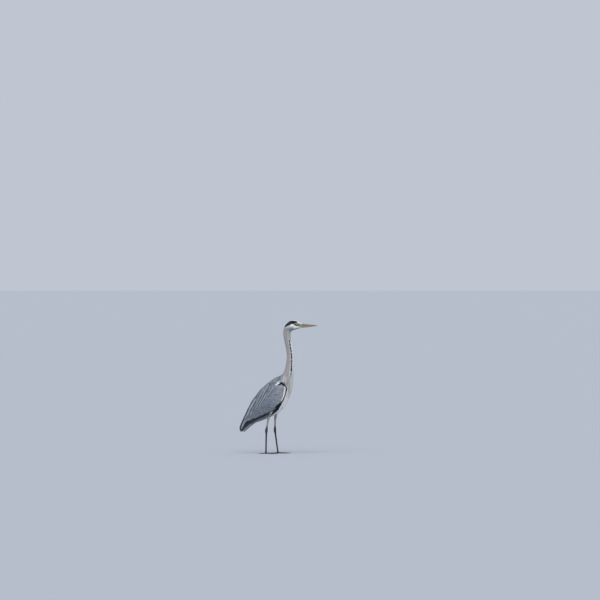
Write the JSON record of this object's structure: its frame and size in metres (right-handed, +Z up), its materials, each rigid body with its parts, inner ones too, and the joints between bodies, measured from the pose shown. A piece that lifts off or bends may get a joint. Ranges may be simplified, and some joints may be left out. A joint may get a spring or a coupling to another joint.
{
  "type": "grey heron",
  "caption": "Adult grey heron as a still life-size model, standing alert on both feet with its neck up, its bill level and its wings folded.",
  "frame": {"origin": "on the floor under the middle of the part's box", "axes": "+X the way the bill points, +Y the bird's left side, +Z up, with the soles at z = 0"},
  "size_m": [0.559, 0.1544, 0.9619],
  "materials": {
    "head_feathers": "short soft feathers, white with a black band through the crest",
    "neck_feathers": "hair-like feathers, pale mauve grey with white and black streaks in front",
    "body_feathers": "soft loose feathers, white below and grey at the sides",
    "wing_feathers": "smooth overlapping vanes, slate grey with pale edges",
    "flight_feathers": "stiff vanes, blackish with a slight sheen",
    "plumes": "long narrow silvery plumes",
    "tail_feathers": "smooth vanes, mid grey",
    "bill_horn": "smooth horn with a satin sheen, ochre with a dark ridge and tip",
    "eye": "wet gloss, yellow round a black pupil",
    "leg_scales": "dry scaled skin, grey brown",
    "claw_horn": "smooth dark horn"
  },
  "bodies": {
    "root": {"head": "head_feathers", "bill_upper": "bill_horn", "bill_lower": "bill_horn", "eye_left": "eye", "eye_right": "eye", "neck_upper": "neck_feathers", "neck_middle": "neck_feathers", "neck_lower": "neck_feathers", "breast_plumes": "plumes", "trunk": "body_feathers", "tail": "tail_feathers", "claw_hind_left": "claw_horn", "claw_hind_right": "claw_horn", "claw_inner_left": "claw_horn", "claw_inner_right": "claw_horn", "claw_middle_left": "claw_horn", "claw_middle_right": "claw_horn", "claw_outer_left": "claw_horn", "claw_outer_right": "claw_horn", "primaries_left": "flight_feathers", "primaries_right": "flight_feathers", "scapulars_left": "plumes", "scapulars_right": "plumes", "shank_left": "leg_scales", "shank_right": "leg_scales", "tarsus_left": "leg_scales", "tarsus_right": "leg_scales", "thigh_left": "body_feathers", "thigh_right": "body_feathers", "toe_hind_left": "leg_scales", "toe_hind_right": "leg_scales", "toe_inner_left": "leg_scales", "toe_inner_right": "leg_scales", "toe_middle_left": "leg_scales", "toe_middle_right": "leg_scales", "toe_outer_left": "leg_scales", "toe_outer_right": "leg_scales", "wing_left": "wing_feathers", "wing_right": "wing_feathers"}
  },
  "joints": []
}
